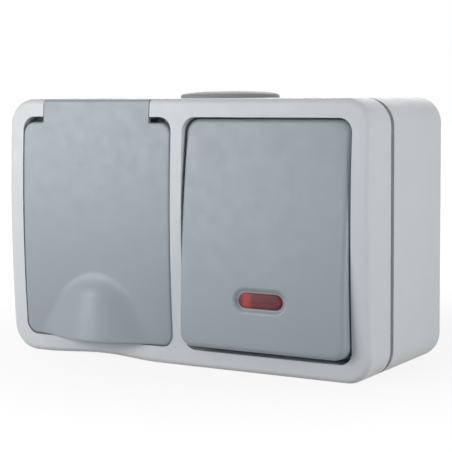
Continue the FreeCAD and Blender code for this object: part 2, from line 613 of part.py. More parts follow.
hollow_form = doc.addObject("Part::MultiCommon", "hollow_form")
hollow_form.Shapes = [flap_hollow, flap_inside]
flap_form = doc.addObject("Part::MultiCommon", "flap_form")
flap_form.Shapes = [flap_blank, flap_skin]
doc.recompute()
flap_shell = join("Cut", "flap_shell", flap_form, hollow_form)
socket_flap = join("Cut", "socket_flap", flap_shell, flap_bore)
socket_flap.Label = "socket_flap"

# Return spring of the flap: coil on the pin, a leg on the flap and a leg on the ledge
flap_spring = body("flap_spring")
sk = sketch(flap_spring, "YZ")
circle(sk, "0", "0", "sizes.spring_coil + sizes.wire")
circle(sk, "0", "0", "sizes.spring_coil - sizes.wire")
pad(flap_spring, sk, "sizes.spring_long", both=True)
LEG_X = "(sizes.spring_long / 2 - 0.7)"
LEG_W = "(sizes.wire * 0.85)"
for x, y in ((LEG_X, "-sizes.spring_coil"), ("-" + LEG_X, "sizes.spring_coil")):
    sk = sketch(flap_spring, "XY")
    box(sk, "%s - %s" % (x, LEG_W), "%s + %s" % (x, LEG_W), "%s - %s" % (y, LEG_W), "%s + %s" % (y, LEG_W))
    pad(flap_spring, sk, "sizes.leg", back=True)
place(flap_spring, MID_L, AXIS, AXIS_Z)

# Seal around the socket
flap_seal = body("flap_seal")
sk = sketch(flap_seal, "XZ", LEDGE)
about(sk, MID_L, FACE_X + " + 1.9", FACE_Z + " + 2.4", "4.6")
about(sk, MID_L, FACE_X + " + 0.5", FACE_Z + " + 1", "3.2")
pad(flap_seal, sk, "sizes.ledge_step - 1.5")

# Socket face with its round well
socket_face = body("socket_face")
sk = sketch(socket_face, "XZ", FLANGE)
about(sk, MID_L, FACE_X + " + sizes.face_lap", FACE_Z + " + sizes.face_lap", "3")
pad(socket_face, sk, "2.3", back=True)
sk = sketch(socket_face, "XZ", FLANGE)
about(sk, MID_L, FACE_X, FACE_Z, "2.9")
pad(socket_face, sk, "sizes.plate + sizes.face_proud")
sk = sketch(socket_face, "XZ", FLANGE)
circle(sk, MID_L, "0", "sizes.well + sizes.cup_wall")
pad(socket_face, sk, "%s - %s" % (FLANGE, CUP_BACK), back=True)
sk = sketch(socket_face, "XZ", WELL_FRONT)
circle(sk, MID_L, "0", "sizes.well")
pocket(socket_face, sk, "sizes.well_deep")
sk = sketch(socket_face, "XZ", WELL_FLOOR)
for side in ("-", "+"):
    near, far = ("- 0.4", "+ 1.7") if side == "-" else ("- 1.7", "+ 0.4")
    rim = "(%s %s sizes.well)" % (MID_L, side)
    box(sk, "%s %s" % (rim, near), "%s %s" % (rim, far), "-2.6", "2.6")
pad(socket_face, sk, "sizes.well_deep - 1.5")
sk = sketch(socket_face, "XZ", CUP_BACK)
for z0, z1 in (("sizes.well - 1.7", "sizes.well + 2.3"), ("-sizes.well - 2.3", "-sizes.well + 1.7")):
    box(sk, MID_L + " - sizes.clip_wide / 2 - 0.6", MID_L + " + sizes.clip_wide / 2 + 0.6", z0, z1)
pocket(socket_face, sk, "%s - 3 - %s" % (WELL_FRONT, CUP_BACK), back=True)
PIN_L = "(%s - sizes.pin_pitch / 2)" % MID_L
PIN_R = "(%s + sizes.pin_pitch / 2)" % MID_L
sk = sketch(socket_face, "XZ", WELL_FLOOR)
circle(sk, PIN_L, "0", "sizes.pin_hole")
circle(sk, PIN_R, "0", "sizes.pin_hole")
octagon(sk, MID_L, "0", "sizes.thread + 0.25")
pocket(socket_face, sk, "sizes.well_floor + 1")
sk = sketch(socket_face, "XZ", WELL_FLOOR)
circle(sk, MID_L, "0", "sizes.head + 0.3")
pocket(socket_face, sk, "1")
screw("socket_centre_screw", MID_L, "0", WELL_FLOOR + " - 1", "14", seen=True)

# Socket base with chambers for the two contacts
socket_base = body("socket_base")
sk = sketch(socket_base, "XZ", BASE_BACK)
about(sk, MID_L, BASE_X, "sizes.base_tall", "3")
pad(socket_base, sk, "%s - %s" % (BASE_FRONT, BASE_BACK))
sk = sketch(socket_base, "XZ", BASE_FRONT)
octagon(sk, MID_L, "0", "4")
pad(socket_base, sk, "sizes.base_gap")
sk = sketch(socket_base, "XZ", BASE_FRONT)
for middle in (PIN_L, PIN_R):
    box(sk, middle + " - sizes.fork_half - 0.6", middle + " + sizes.fork_half + 0.6", "-3.6", "3.6")
pocket(socket_base, sk, "%s - %s - 1.2" % (BASE_FRONT, BASE_BACK))
sk = sketch(socket_base, "XZ", CUP_BACK)
octagon(sk, MID_L, "0", "sizes.thread + sizes.fit")
pocket(socket_base, sk, "15")
TERM_L = "(%s - sizes.terminal)" % PIN_L
TERM_R = "(%s + sizes.terminal)" % PIN_R
sk = sketch(socket_base, "XZ", BASE_FRONT)
octagon(sk, TERM_L, "0", "1.25")
octagon(sk, TERM_R, "0", "1.25")
pocket(socket_base, sk, "9")


def base_holes(owner, front, posts):
    sk = sketch(owner, "XZ", front)
    for x, z in posts:
        octagon(sk, x, z, "(sizes.head + 0.3)")
    pocket(owner, sk, "%s - %s" % (front, SEAT))
    sk = sketch(owner, "XZ", front)
    for x, z in posts:
        octagon(sk, x, z, "sizes.thread + 0.25")
    pocket(owner, sk, "%s - %s + 1" % (front, BASE_BACK))


base_holes(socket_base, BASE_FRONT, SOCKET_POSTS[:2])
for letter, (x, z) in zip("ab", SOCKET_POSTS):
    screw("base_screw_" + letter, x, z, SEAT, "sizes.post_tall + 2.2")


# Contacts: a fork around each pin with a tail to its terminal screw
def fork(name, middle, way, screw_name):
    made = body(name)
    sk = sketch(made, "XY")
    back = "-(%s + 1.4)" % BASE_BACK
    front = "-" + BASE_FRONT
    other = "" if way == "-" else "-"
    outer, inner = way + "sizes.fork_half", way + "(sizes.fork_half - sizes.strip)"
    other_out, other_in = other + "sizes.fork_half", other + "(sizes.fork_half - sizes.strip)"
    tail = way + "(sizes.terminal + 3.2)"
    outline(sk, [
        (outer, back), (other_out, back), (other_out, front), (other_in, front),
        (other_in, back + " - sizes.strip"), (inner, back + " - sizes.strip"),
        (inner, front + " - sizes.strip"), (tail, front + " - sizes.strip"), (tail, front), (outer, front),
    ])
    pad(made, sk, "6", both=True)
    sk = sketch(made, "XZ", BASE_FRONT + " + 2")
    octagon(sk, way + "sizes.terminal", "0", "1.4")
    pocket(made, sk, "4")
    place(made, middle)
    screw(screw_name, "%s %s sizes.terminal" % (middle, way or "+"), "0", BASE_FRONT + " + sizes.strip", "8",
          "2.3", "1.3", "1.2")


fork("contact_live", PIN_L, "-", "terminal_screw_live")
fork("contact_neutral", PIN_R, "", "terminal_screw_neutral")

# Earth clip: a strap behind the base with two sprung arms in the well
earth_clip = body("earth_clip")
sk = sketch(earth_clip, "YZ")
STRAP = "(%s - 2.6)" % BASE_BACK
BEND = "(%s + 0.7)" % WELL_FLOOR
TIP = "(%s - 4.4)" % WELL_FRONT
arm = [
    ("-" + STRAP, "(sizes.well + 3.1)"), ("-" + BEND, "(sizes.well + 3.1)"),
    ("-(%s + 6.8)" % BEND, "(sizes.well - 0.2)"), ("-" + TIP, "(sizes.well + 1.4)"),
    ("-(%s + 0.3)" % TIP, "(sizes.well + 0.6)"), ("-(%s + 6.8)" % BEND, "(sizes.well - 1.1)"),
    ("-(%s - 0.2)" % BEND, "(sizes.well + 2.3)"), ("-(%s + sizes.strip)" % STRAP, "(sizes.well + 2.3)"),
]
outline(sk, arm + [(depth, "-" + z) for depth, z in reversed(arm)])
pad(earth_clip, sk, "sizes.clip_wide", both=True)
EARTH = "(sizes.well + 7.3)"
EARTH_D = "(%s - 4)" % BASE_FRONT
sk = sketch(earth_clip, "XZ", EARTH_D)
box(sk, "-3", "3", "-%s - 3.9" % EARTH, "-(sizes.well + 2.9)")
pad(earth_clip, sk, "sizes.strip")
sk = sketch(earth_clip, "XZ", EARTH_D + " + 2")
octagon(sk, "0", "-" + EARTH, "1.4")
pocket(earth_clip, sk, "4")
place(earth_clip, MID_L)
screw("terminal_screw_earth", MID_L, "-" + EARTH, EARTH_D + " + sizes.strip", "7", "2.3", "1.3", "1.2")

# Rocker, built about its pivot and laid over with the top pressed in
REST = "-sizes.tilt"
CROWN = "(%s + sizes.bulge + sizes.proud - %s)" % (FRONT, PIVOT)
HOLLOW = "(%s - 2.9)" % CROWN
ROCK_X = "(%s - sizes.rocker_side)" % HALF
ROCK_Z = "(%s - sizes.rocker_gap)" % WIN_Z
LENS_Z = "-sizes.lens_drop"
FACE_AT_LENS = "(%s - %s + sqrt(%s^2 - sizes.lens_drop^2))" % (CROWN, ARC, ARC)


def on_pivot(item):
    place(item, MID, PIVOT, "0", REST)


rocker = body("rocker")
sk = sketch(rocker, "XZ", "1.4")
about(sk, "0", ROCK_X, ROCK_Z, "sizes.rocker_corner")
pad(rocker, sk, CROWN + " + 1")
sk = sketch(rocker, "YZ")
beyond_face(sk, "%s - %s" % (ARC, CROWN), ARC, "-%s - 11" % CROWN, ROCK_Z + " + 3")
pocket(rocker, sk, "%s * 2 + 9" % ROCK_X, both=True)


def on_rocker_rim(edge):
    return edge.CenterOfMass.y < 2 - num(CROWN)


soften(rocker, on_rocker_rim, "sizes.rocker_round", "Chamfer")
sk = sketch(rocker, "XZ", "1.4")
about(sk, "0", ROCK_X + " - sizes.rocker_wall", ROCK_Z + " - sizes.rocker_wall",
      "sizes.rocker_corner - sizes.rocker_wall")
pocket(rocker, sk, HOLLOW + " - 1.4", back=True)
BOSS_IN = "(sizes.cheek + sizes.cheek_thick + 0.3)"
BOSS_OUT = "(%s + 2.2)" % BOSS_IN
sk = sketch(rocker, "XZ", "-4")
box(sk, BOSS_IN, BOSS_OUT, "-4", "4")
box(sk, "-" + BOSS_OUT, "-" + BOSS_IN, "-4", "4")
pad(rocker, sk, HOLLOW + " + 4.2")
sk = sketch(rocker, "XZ", "-9")
octagon(sk, "0", "0", "3.8")
pad(rocker, sk, HOLLOW + " + 9.2")
sk = sketch(rocker, "XZ", "-9")
circle(sk, "0", "0", "sizes.trunnion + sizes.fit")
pocket(rocker, sk, HOLLOW + " + 8", back=True)
hole_r = sketch(rocker, "YZ", BOSS_IN + " - 0.8")
circle(hole_r, "0", "0", "sizes.trunnion + sizes.fit")
pocket(rocker, hole_r, "4", back=True)
hole_l = sketch(rocker, "YZ", "-(%s - 0.8)" % BOSS_IN)
circle(hole_l, "0", "0", "sizes.trunnion + sizes.fit")
pocket(rocker, hole_l, "4")
sk = sketch(rocker, "XZ", CROWN + " + 3")
stadium(sk, "0", LENS_Z, "sizes.dish_long", "sizes.dish_tall")
pocket(rocker, sk, "%s + 3 - %s + sizes.dish_deep" % (CROWN, FACE_AT_LENS))
sk = sketch(rocker, "XZ", CROWN + " + 3")
stadium(sk, "0", LENS_Z, "sizes.lens_long + 0.1", "sizes.lens_tall + 0.1")
pocket(rocker, sk, "%s - %s + 5" % (CROWN, HOLLOW))
on_pivot(rocker)

# Red window of the rocker
rocker_lens = body("rocker_lens")
sk = sketch(rocker_lens, "XZ", HOLLOW + " - 0.2")
stadium(sk, "0", LENS_Z, "sizes.lens_long", "sizes.lens_tall")
pad(rocker_lens, sk, "%s - %s - 0.05" % (FACE_AT_LENS, HOLLOW))
sk = sketch(rocker_lens, "XZ", HOLLOW)
stadium(sk, "0", LENS_Z, "sizes.dish_long - 1.5", "sizes.dish_tall - 1")
pad(rocker_lens, sk, "1", back=True)
on_pivot(rocker_lens)

# Sprung plunger in the rocker
plunger = body("plunger")
sk = sketch(plunger, "XY")
outline(sk, [
    ("0", "3"), ("sizes.trunnion", "3"), ("sizes.trunnion", "sizes.plunger_end - 2"),
    ("0.8", "sizes.plunger_end"), ("0", "sizes.plunger_end"),
])
spin(plunger, sk)
on_pivot(plunger)
plunger_spring = body("plunger_spring")
sk = sketch(plunger_spring, "XZ", "-2.7")
circle(sk, "0", "0", "sizes.trunnion - sizes.wire")
circle(sk, "0", "0", "sizes.trunnion - sizes.wire * 3")
pad(plunger_spring, sk, HOLLOW + " + 1.4")
on_pivot(plunger_spring)

# Cradle that carries the rocker
rocker_cradle = body("rocker_cradle")
SHELF = "(%s - 2.5)" % RIM
sk = sketch(rocker_cradle, "XZ", SHELF)
about(sk, MID, SWITCH_X, "sizes.cradle_tall", "2.5")
pad(rocker_cradle, sk, "2.4")
sk = sketch(rocker_cradle, "XZ", SWITCH_FRONT)
about(sk, MID, SWITCH_X, "sizes.switch_tall", "2.5")
about(sk, MID, SWITCH_X + " - 1.8", "sizes.switch_tall - 1.8", "1")
pad(rocker_cradle, sk, "%s - %s" % (SHELF, SWITCH_FRONT))
sk = sketch(rocker_cradle, "XZ", RIM + " - 0.1")
for way in ("-", "+"):
    ends = ["(%s %s sizes.cheek)" % (MID, way), "(%s %s (sizes.cheek + sizes.cheek_thick))" % (MID, way)]
    box(sk, ends[way == "-"], ends[way == "+"], "-5", "5")
pad(rocker_cradle, sk, "sizes.pivot_rise + 2.7")
sk = sketch(rocker_cradle, "XZ", RIM + " - 0.1")
box(sk, MID + " - 6", MID + " + 6", LENS_Z + " - 2.5", LENS_Z + " + 2.5")
pad(rocker_cradle, sk, "0.5")
for way, back in (("-", True), ("+", False)):
    sk = sketch(rocker_cradle, "YZ", "%s %s (sizes.cheek + 0.4)" % (MID, way))
    circle(sk, "-" + PIVOT, "0", "sizes.trunnion")
    pad(rocker_cradle, sk, "sizes.cheek_thick + 2.2", back=back)
sk = sketch(rocker_cradle, "XZ", RIM + " + 1")
box(sk, MID + " - 7", MID + " + 7", "-7", "7")
pocket(rocker_cradle, sk, "5")

# Indicator lamp
indicator_lamp = body("indicator_lamp")
sk = sketch(indicator_lamp, "YZ")
octagon(sk, "0", "0", "2.3")
pad(indicator_lamp, sk, "sizes.lens_long - 3", both=True)
sk = sketch(indicator_lamp, "YZ")
octagon(sk, "0", "0", "1.6")
pad(indicator_lamp, sk, "sizes.lens_long - 0.8", both=True)
place(indicator_lamp, MID, RIM + " + 2.8", LENS_Z)

# Switch base and its chamber
switch_base = body("switch_base")
sk = sketch(switch_base, "XZ", BASE_BACK)
about(sk, MID, SWITCH_X, "sizes.switch_tall", "2.5")
pad(switch_base, sk, "%s - %s" % (SWITCH_FRONT, BASE_BACK))
ARM = "(sizes.lever_arm + 3)"
sk = sketch(switch_base, "XZ", SWITCH_FRONT)
box(sk, MID + " - sizes.chamber_half", MID + " + sizes.chamber_half", "-" + ARM, ARM)
pocket(switch_base, sk, "%s - %s" % (SWITCH_FRONT, CHAMBER))
TERM_Z = "(%s + 2.6)" % ARM
sk = sketch(switch_base, "XZ", SWITCH_FRONT)
octagon(sk, MID, TERM_Z, "1.25")
octagon(sk, MID, "-" + TERM_Z, "1.25")
pocket(switch_base, sk, "10")
base_holes(switch_base, SWITCH_FRONT, SWITCH_POSTS[:2])
for letter, (x, z) in zip("ab", SWITCH_POSTS):
    screw("switch_screw_" + letter, x, z, SEAT, "sizes.post_tall + 2.2")


# Strips in the chamber, bent over its ends to the terminal screws
def strip(name, start, end, screw_name):
    made = body(name)
    sk = sketch(made, "YZ", MID)
    low, high = "-" + CHAMBER, "-" + SWITCH_FRONT
    out, tip = end + "(%s - 0.2)" % ARM, end + "(%s + 5)" % ARM
    inner = end + "(%s - 0.2 - sizes.strip)" % ARM
    outline(sk, [
        (low, start), (low, out), (high, out), (high, tip), (high + " - sizes.strip", tip),
        (high + " - sizes.strip", inner), (low + " - sizes.strip", inner), (low + " - sizes.strip", start),
    ])
    pad(made, sk, "6", both=True)
    sk = sketch(made, "XZ", SWITCH_FRONT + " + 2")
    octagon(sk, MID, end + TERM_Z, "1.4")
    pocket(made, sk, "4")
    screw(screw_name, MID, end + TERM_Z, SWITCH_FRONT + " + sizes.strip", "8", "2.2", "1.3", "1.2")
    return made


fixed_contact = strip("fixed_contact", "6", "", "switch_terminal_a")
sk = sketch(fixed_contact, "XZ", CHAMBER + " + 0.5")
octagon(sk, MID, "sizes.lever_arm - 2.4", "1.6")
pad(fixed_contact, sk, "3.9")

# Common contact with cheeks for the lever
common_contact = strip("common_contact", "3", "-", "switch_terminal_b")
sk = sketch(common_contact, "XZ", CHAMBER)
box(sk, MID + " - 6", MID + " + 6", "-3", "3")
pad(common_contact, sk, "sizes.strip")
sk = sketch(common_contact, "XZ", CHAMBER + " + 0.4")
box(sk, MID + " - 6", MID + " - 5", "-3", "3")
box(sk, MID + " + 5", MID + " + 6", "-3", "3")
pad(common_contact, sk, "%s + 2 - %s" % (LEVER, CHAMBER))
sk = sketch(common_contact, "YZ", MID)
circle(sk, "-" + LEVER, "0", "sizes.lever_pin + sizes.fit")
pocket(common_contact, sk, "14", both=True)

# Tipping lever
contact_lever = body("contact_lever")
sk = sketch(contact_lever, "YZ")
outline(sk, [
    ("-1.5", "0"), ("-2.8", "6"), ("-1.6", "sizes.lever_arm"), ("0.4", "sizes.lever_arm"), ("0.6", "0"),
    ("0.4", "-sizes.lever_arm"), ("-1.6", "-sizes.lever_arm"), ("-2.8", "-6"),
])
pad(contact_lever, sk, "6", both=True)
sk = sketch(contact_lever, "YZ")
circle(sk, "0", "0", "sizes.lever_pin")
pad(contact_lever, sk, "13.2", both=True)
place(contact_lever, MID, LEVER, "0", "sizes.lever_tilt")

# Check and write every piece
doc.recompute()
PIECES = (
    "back_box", "case_seal", "front_cover", "entry_plug", "cover_screw_a", "cover_screw_b", "cover_screw_c",
    "cover_screw_d", "hinge_pin", "socket_flap", "flap_spring", "flap_seal", "socket_face",
    "socket_centre_screw", "socket_base", "base_screw_a", "base_screw_b", "contact_live", "contact_neutral",
    "terminal_screw_live", "terminal_screw_neutral", "earth_clip", "terminal_screw_earth", "rocker",
    "rocker_lens", "plunger", "plunger_spring", "rocker_cradle", "indicator_lamp", "switch_base",
    "switch_screw_a", "switch_screw_b", "fixed_contact", "switch_terminal_a", "common_contact",
    "switch_terminal_b", "contact_lever",
)
for item in doc.Objects:
    if "Invalid" in item.State or "Error" in item.State:
        raise ValueError("%s did not build" % item.Label)
os.makedirs("parts", exist_ok=True)
for name in PIECES:
    piece = doc.getObjectsByLabel(name)[0]
    shape = piece.Shape
    if shape.isNull() or not shape.isValid() or len(shape.Solids) != 1:
        raise ValueError("%s has no sound single solid" % name)
    shape.exportStep("parts/%s.step" % name)
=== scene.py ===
import json
import math
import bmesh
import bpy
from mathutils import Matrix, Vector


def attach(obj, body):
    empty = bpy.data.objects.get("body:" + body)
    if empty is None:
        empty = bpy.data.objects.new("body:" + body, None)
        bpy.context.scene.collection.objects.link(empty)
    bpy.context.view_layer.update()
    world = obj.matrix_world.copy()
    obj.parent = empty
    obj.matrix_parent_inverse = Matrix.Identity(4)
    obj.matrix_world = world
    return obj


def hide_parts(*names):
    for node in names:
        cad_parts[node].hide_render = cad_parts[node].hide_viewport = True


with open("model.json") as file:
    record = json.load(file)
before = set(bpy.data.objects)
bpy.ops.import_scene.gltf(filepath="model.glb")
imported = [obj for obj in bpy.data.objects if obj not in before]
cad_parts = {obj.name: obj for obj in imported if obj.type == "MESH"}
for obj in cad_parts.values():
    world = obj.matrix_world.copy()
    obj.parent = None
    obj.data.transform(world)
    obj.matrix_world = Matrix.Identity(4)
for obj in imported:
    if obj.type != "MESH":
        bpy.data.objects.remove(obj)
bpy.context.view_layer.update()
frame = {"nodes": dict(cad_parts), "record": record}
nodes = frame["nodes"]
scene = bpy.context.scene
MM = 0.001


# Materials, which read Object coordinates in metres
def tree_of(name):
    material = bpy.data.materials.new(name)
    material.use_nodes = True
    tree = material.node_tree
    return material, tree, tree.nodes["Principled BSDF"]


def object_coordinates(tree):
    return tree.nodes.new("ShaderNodeTexCoord").outputs["Object"]


def noise(tree, scale, detail=4.0, rough=0.55):
    made = tree.nodes.new("ShaderNodeTexNoise")
    made.inputs["Scale"].default_value = scale
    made.inputs["Detail"].default_value = detail
    made.inputs["Roughness"].default_value = rough
    tree.links.new(object_coordinates(tree), made.inputs["Vector"])
    return made.outputs["Fac"]


def ramp(tree, source, stops):
    made = tree.nodes.new("ShaderNodeValToRGB")
    first, last = made.color_ramp.elements
    first.position, first.color = stops[0][0], (*stops[0][1], 1)
    last.position, last.color = stops[-1][0], (*stops[-1][1], 1)
    for position, color in stops[1:-1]:
        made.color_ramp.elements.new(position).color = (*color, 1)
    tree.links.new(source, made.inputs["Fac"])
    return made.outputs["Color"]


def spread(tree, source, low, high, from_low=0.3, from_high=0.7):
    made = tree.nodes.new("ShaderNodeMapRange")
    made.inputs["From Min"].default_value = from_low
    made.inputs["From Max"].default_value = from_high
    made.inputs["To Min"].default_value = low
    made.inputs["To Max"].default_value = high
    tree.links.new(source, made.inputs["Value"])
    return made.outputs["Result"]


def any_ray(tree, *kinds):
    """One for rays of any of these kinds, and nought for the rest."""
    path = tree.nodes.new("ShaderNodeLightPath")
    found = path.outputs[kinds[0]]
    for kind in kinds[1:]:
        either = tree.nodes.new("ShaderNodeMath")
        either.operation = "MAXIMUM"
        tree.links.new(found, either.inputs[0])
        tree.links.new(path.outputs[kind], either.inputs[1])
        found = either.outputs[0]
    return found


def mixed(tree, share, first, second):
    made = tree.nodes.new("ShaderNodeMixShader")
    tree.links.new(share, made.inputs["Fac"])
    tree.links.new(first, made.inputs[1])
    tree.links.new(second, made.inputs[2])
    return made.outputs[0]


def grain(tree, shader, scale, strength, distance):
    made = tree.nodes.new("ShaderNodeBump")
    made.inputs["Strength"].default_value = strength
    made.inputs["Distance"].default_value = distance
    tree.links.new(noise(tree, scale, 3.0, 0.6), made.inputs["Height"])
    tree.links.new(made.outputs["Normal"], shader.inputs["Normal"])


def moulded(name, color, rough, variation=0.04, grain_scale=2600.0, grain_strength=0.12):
    material, tree, shader = tree_of(name)
    low = tuple(c * (1 - variation) for c in color)
    high = tuple(min(c * (1 + variation), 1.0) for c in color)
    tree.links.new(ramp(tree, noise(tree, 38.0), [(0.3, low), (0.7, high)]), shader.inputs["Base Color"])
    tree.links.new(spread(tree, noise(tree, 210.0), rough - 0.05, rough + 0.06), shader.inputs["Roughness"])
    grain(tree, shader, grain_scale, grain_strength, 0.00004)
    return material


def metal(name, color, rough, brushed=900.0):
    material, tree, shader = tree_of(name)
    shader.inputs["Metallic"].default_value = 1.0
    low = tuple(c * 0.86 for c in color)
    tree.links.new(ramp(tree, noise(tree, 140.0), [(0.3, low), (0.75, color)]), shader.inputs["Base Color"])
    roughness = spread(tree, noise(tree, brushed, 6.0), rough - 0.08, rough + 0.1)
    tree.links.new(roughness, shader.inputs["Roughness"])
    grain(tree, shader, brushed * 2, 0.1, 0.00003)
    return material


def red_with_painted_glow(name):
    """Red from left to right across the ribbed window: a painted glow patch near the left and a painted
    bright rim at the right edge, over darker red.
    """
    left, right = 0.0232, 0.0388
    material, tree, shader = tree_of(name)
    split = tree.nodes.new("ShaderNodeSeparateXYZ")
    tree.links.new(object_coordinates(tree), split.inputs["Vector"])
    along = spread(tree, split.outputs["X"], 0.0, 1.0, left, right)
    # Painted light along X: a lighter red patch near the left is painted glow, and the bright red band at
    # the right edge is a painted highlight
    painted_glow = ramp(tree, along, [
        (0.0, (0.12, 0.035, 0.045)), (0.10, (0.15, 0.045, 0.055)), (0.17, (0.44, 0.075, 0.085)),
        (0.27, (0.40, 0.07, 0.08)), (0.36, (0.19, 0.05, 0.055)), (0.7, (0.17, 0.045, 0.05)),
        (0.9, (0.14, 0.04, 0.045)), (1.0, (0.42, 0.02, 0.04)),
    ])
    ribs = tree.nodes.new("ShaderNodeTexWave")
    ribs.bands_direction = "Z"
    ribs.inputs["Scale"].default_value = 190.0
    ribs.inputs["Distortion"].default_value = 1.4
    ribs.inputs["Detail"].default_value = 1.0
    tree.links.new(object_coordinates(tree), ribs.inputs["Vector"])
    mix = tree.nodes.new("ShaderNodeMix")
    mix.data_type = "RGBA"
    mix.blend_type = "MULTIPLY"
    tree.links.new(spread(tree, ribs.outputs["Fac"], 0.0, 0.35, 0.0, 1.0), mix.inputs["Factor"])
    tree.links.new(painted_glow, mix.inputs["A"])
    mix.inputs["B"].default_value = (0.72, 0.6, 0.6, 1)
    tree.links.new(mix.outputs["Result"], shader.inputs["Base Color"])
    tree.links.new(spread(tree, noise(tree, 600.0), 0.25, 0.4), shader.inputs["Roughness"])
    shader.inputs["Specular IOR Level"].default_value = 0.12
    grain(tree, shader, 420.0, 0.25, 0.0001)
    return material


case_plastic = moulded("case_plastic", (0.645, 0.672, 0.69), 0.48, variation=0.012)
flap_plastic = moulded("flap_plastic", (0.308, 0.351, 0.388), 0.44, variation=0.012)
FINISHES = {
    "case_grey": case_plastic,
    "blue_grey": flap_plastic,
    "dark_seal": moulded("groove_rubber", (0.13, 0.135, 0.14), 0.7),
    "plug_grey": moulded("plug_plastic", (0.27, 0.28, 0.29), 0.6),
    "soft_seal": moulded("seal_rubber", (0.03, 0.03, 0.03), 0.75),
    # red window with painted glow near the left and a painted bright rim at the right
    "red_window": red_with_painted_glow("red_window"),
    "face_grey": moulded("face_plastic", (0.45, 0.48, 0.50), 0.45),
    "insulator_white": moulded("cradle_plastic", (0.66, 0.64, 0.57), 0.5),
    "insulator_black": moulded("base_plastic", (0.03, 0.03, 0.032), 0.5),
    "lamp_glass": moulded("lamp_glass", (0.8, 0.6, 0.45), 0.1),
    "brass_strip": metal("brass_strip", (0.80, 0.60, 0.28), 0.35),
    "bright_strip": metal("bright_strip", (0.70, 0.69, 0.65), 0.33),
    "steel": metal("zinc_steel", (0.66, 0.66, 0.68), 0.36),
    "spring_steel": metal("spring_steel", (0.46, 0.46, 0.47), 0.4),
}
SLOTS = {entry["node"]: entry["material_slot"] for entry in frame["record"]["subparts"]}
for name, item in nodes.items():
    item.data.materials.clear()
    item.data.materials.append(FINISHES[SLOTS[name]])

# Sizes in millimetres, as the solids have them
MID = 31.0
FRONT, BULGE, ARC = 51.1, 1.8, 483.928
PIVOT, TILT = 43.5, 4.75
ROCKER_CROWN = 10.5
AXIS, AXIS_Z, BARREL = 48.0, 38.4, 3.3
CASE_HALF, PLUG_DEPTH = 41.7, 19.0
FLAP_LOW, SHOULDER, NECK = -35.8, 34.3, 20.57


def face_depth(z):
    return FRONT + BULGE - ARC + math.sqrt(ARC * ARC - z * z)


# Shapes that several pieces use
def stations(half, edge, edge_steps, breaks):
    near = [-half + edge * (1 - math.cos(math.pi / 2 * k / edge_steps)) for k in range(edge_steps)]
    spots = near + [-half + edge]
    for stop, count in breaks:
        start = spots[-1]
        spots += [start + (stop - start) * k / count for k in range(1, count + 1)]
    spots += [-spot for spot in reversed(near)]
    return spots


def panel(xs, zs, corner, edge, depth_at, open_top=None):
    """A crowned plate with round corners and a round-over along its edge, seen from the front."""
    shape = bmesh.new()
    columns, rows = len(xs) - 1, len(zs) - 1
    bmesh.ops.create_grid(shape, x_segments=columns, y_segments=rows, size=1.0)
    half_x, half_z = -xs[0], -zs[0]
    for spot in shape.verts:
        x = xs[round((spot.co.x + 1) / 2 * columns)]
        z = zs[round((spot.co.y + 1) / 2 * rows)]
        p = (abs(x) - half_x + corner) / corner
        q = (abs(z) - half_z + corner) / corner
        neck = open_top is not None and z > 0 and abs(x) <= open_top + 0.001
        if p > 0 and q > 0 and not neck:
            round_x, round_z = p * math.sqrt(1 - q * q / 2), q * math.sqrt(1 - p * p / 2)
            x = math.copysign(half_x - corner + corner * round_x, x)
            z = math.copysign(half_z - corner + corner * round_z, z)
            inside = corner * (1 - math.hypot(round_x, round_z))
        else:
            inside = min(half_x - abs(x), 99.0 if neck else half_z - abs(z))
        drop = 0.0
        if inside < edge:
            drop = edge - math.sqrt(max(edge * edge - (edge - max(inside, 0.0)) ** 2, 0.0))
        spot.co = Vector((x, -(depth_at(x, z) - drop), z))
    return shape


def rim_edges(shape):
    return [edge for edge in shape.edges if edge.is_boundary]


def draw_along(shape, edges, path):
    """Edges extruded through (depth, height) places. A height of None keeps each point's own."""
    for depth, height in path:
        made = bmesh.ops.extrude_edge_only(shape, edges=edges)["geom"]
        for spot in made:
            if isinstance(spot, bmesh.types.BMVert):
                spot.co.y = -depth
                if height is not None:
                    spot.co.z = height
        edges = [item for item in made if isinstance(item, bmesh.types.BMEdge)]


def fold_back(shape, edges, depths):
    draw_along(shape, edges, [(depth, None) for depth in depths])


def arc(depth, height, radius, degrees):
    return [(depth + radius * math.cos(math.radians(a)), height + radius * math.sin(math.radians(a)))
            for a in degrees]


def turned(shape, profile, steps, centre, axis):
    """A profile of (radius, height) points spun full circle about the axis."""
    spots = []
    for radius, height in profile:
        at = {
            (1, 0, 0): (height, 0, radius),
            (0, 1, 0): (radius, -height, 0),
            (0, 0, 1): (radius, 0, height),
        }[axis]
        spots.append(shape.verts.new(Vector(at) + Vector(centre)))
    edges = [shape.edges.new(pair) for pair in zip(spots, spots[1:])]
    bmesh.ops.spin(shape, geom=spots + edges, cent=centre, axis=axis, angle=2 * math.pi, steps=steps,
                   use_merge=True, use_duplicate=False)
    bmesh.ops.remove_doubles(shape, verts=shape.verts, dist=0.0005)


def piece(name, shape, slot, body, *replaced, sharp=42.0, turn=None, outward=True):
    """A shape in millimetres made an object that rides on a body in place of the named solids."""
    if turn is not None:
        bmesh.ops.transform(shape, matrix=turn, verts=shape.verts)
    bmesh.ops.scale(shape, vec=(MM, MM, MM), verts=shape.verts)
    if outward:
        bmesh.ops.recalc_face_normals(shape, faces=shape.faces)
    mesh = bpy.data.meshes.new(name)
    shape.to_mesh(mesh)
    shape.free()
    mesh.materials.append(FINISHES[slot])
    mesh.polygons.foreach_set("use_smooth", [True] * len(mesh.polygons))
    mesh.set_sharp_from_angle(angle=math.radians(sharp))
    made = bpy.data.objects.new(name, mesh)
    scene.collection.objects.link(made)
    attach(made, body)
    if replaced:
        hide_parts(*replaced)
    return made


